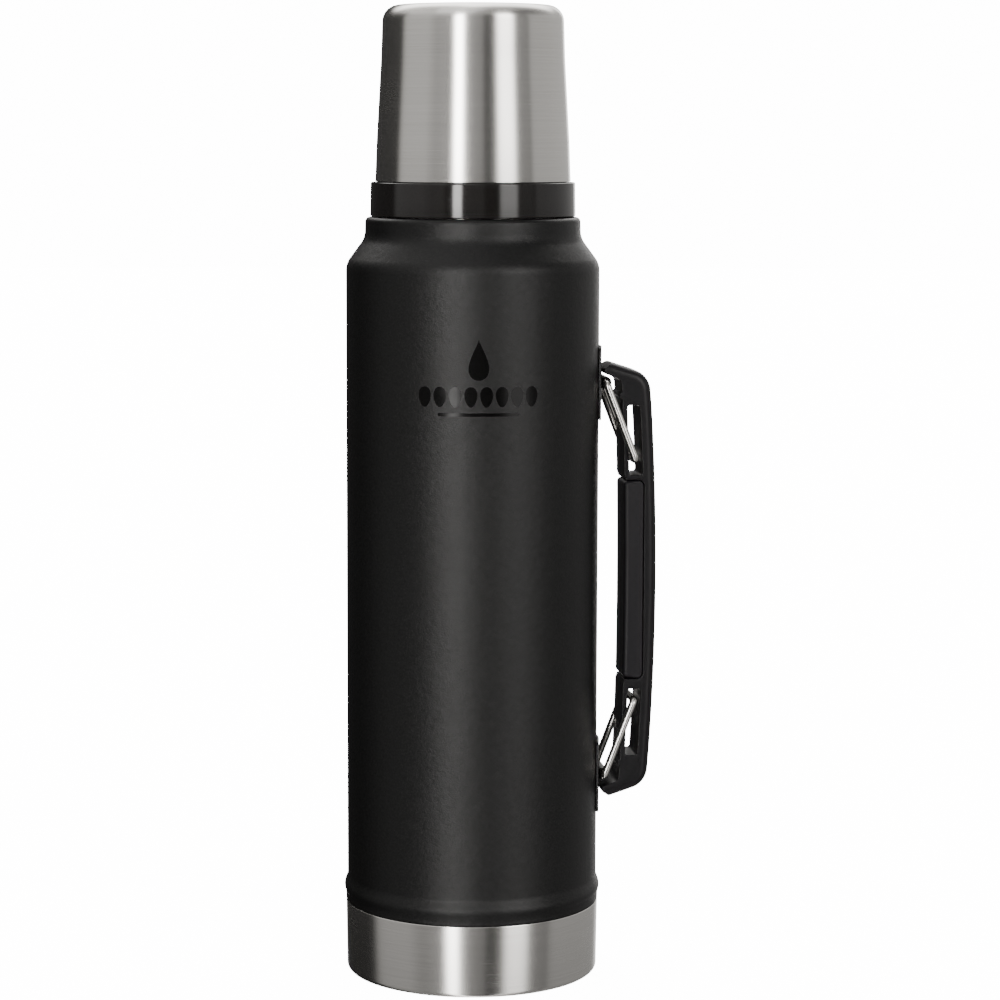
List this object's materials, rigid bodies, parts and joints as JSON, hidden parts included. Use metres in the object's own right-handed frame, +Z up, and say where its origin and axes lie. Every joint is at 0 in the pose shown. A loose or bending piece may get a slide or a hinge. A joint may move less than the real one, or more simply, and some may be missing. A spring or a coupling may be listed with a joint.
{
  "type": "vacuum bottle",
  "caption": "Tall insulated bottle with a painted shell, bare steel base, screw stopper, steel screw-on cup and a side handle on swinging wire bails.",
  "frame": {"origin": "on the bottle's axis, in the plane it stands on", "axes": "+Z up along the bottle's axis, +X through the middle of the handle, +Y completes a right-handed frame"},
  "size_m": [0.1171, 0.0972, 0.363],
  "materials": {
    "powder_coat": "fine-textured satin black powder coat",
    "brushed_steel": "stainless steel, brushed around the axis",
    "bare_steel": "plain satin stainless steel",
    "wire_steel": "drawn stainless wire",
    "gloss_plastic": "moulded glossy black polypropylene",
    "satin_plastic": "moulded satin black plastic",
    "grip": "matt soft-touch black",
    "seal": "grey food-grade silicone",
    "foam": "closed-cell insulating foam",
    "getter": "pressed dark grey metal powder"
  },
  "bodies": {
    "flask": {"outer_shell": "powder_coat", "neck_sleeve": "bare_steel", "inner_flask": "bare_steel", "vacuum_base_plate": "bare_steel", "getter_holder": "bare_steel", "getter_pellet": "getter", "steel_base": "brushed_steel", "bracket_upper": "powder_coat", "bracket_lower": "powder_coat"},
    "stopper_ring": {"stopper_seal": "seal"},
    "stopper": {"stopper_body": "satin_plastic", "stopper_cap": "satin_plastic", "stopper_foam": "foam", "stopper_oring": "seal"},
    "cup_ring": {"cup_seal": "seal"},
    "cup": {"cup_shell": "brushed_steel", "cup_liner": "gloss_plastic"},
    "handle": {"handle_frame": "satin_plastic", "handle_grip": "grip"},
    "upper_bail": {"bail_upper": "wire_steel"},
    "lower_bail": {"bail_lower": "wire_steel"}
  },
  "joints": [
    {"name": "stopper_rise", "type": "slide", "parent": "flask", "child": "stopper_ring", "axis": [0, 0, 1], "range_m": [0, 0.015]},
    {"name": "stopper_turn", "type": "hinge", "parent": "stopper_ring", "child": "stopper", "pos_m": [0, 0, 0.3052], "axis": [0, 0, 1], "range_deg": [0, 900]},
    {"name": "cup_rise", "type": "slide", "parent": "stopper", "child": "cup_ring", "axis": [0, 0, 1], "range_m": [0, 0.015]},
    {"name": "cup_turn", "type": "hinge", "parent": "cup_ring", "child": "cup", "pos_m": [0, 0, 0.2864], "axis": [0, 0, 1], "range_deg": [0, 900]},
    {"name": "handle_pull", "type": "slide", "parent": "flask", "child": "handle", "axis": [1, 0, 0], "range_m": [0, 0.015]},
    {"name": "bail_upper_swing", "type": "hinge", "parent": "flask", "child": "upper_bail", "pos_m": [0.0493, 0, 0.2242], "axis": [0, -1, 0], "range_deg": [0, 36.5]},
    {"name": "bail_lower_swing", "type": "hinge", "parent": "flask", "child": "lower_bail", "pos_m": [0.0493, 0, 0.0748], "axis": [0, 1, 0], "range_deg": [0, 36.5]}
  ],
  "couplings": [
    {"joint": "stopper_rise", "follows": "stopper_turn", "m_per_rad": 0.00095493},
    {"joint": "cup_rise", "follows": "cup_turn", "m_per_rad": 0.00095493},
    {"joint": "bail_upper_swing", "follows": "handle_pull", "rad_per_m": 42.35},
    {"joint": "bail_lower_swing", "follows": "handle_pull", "rad_per_m": 42.35}
  ]
}
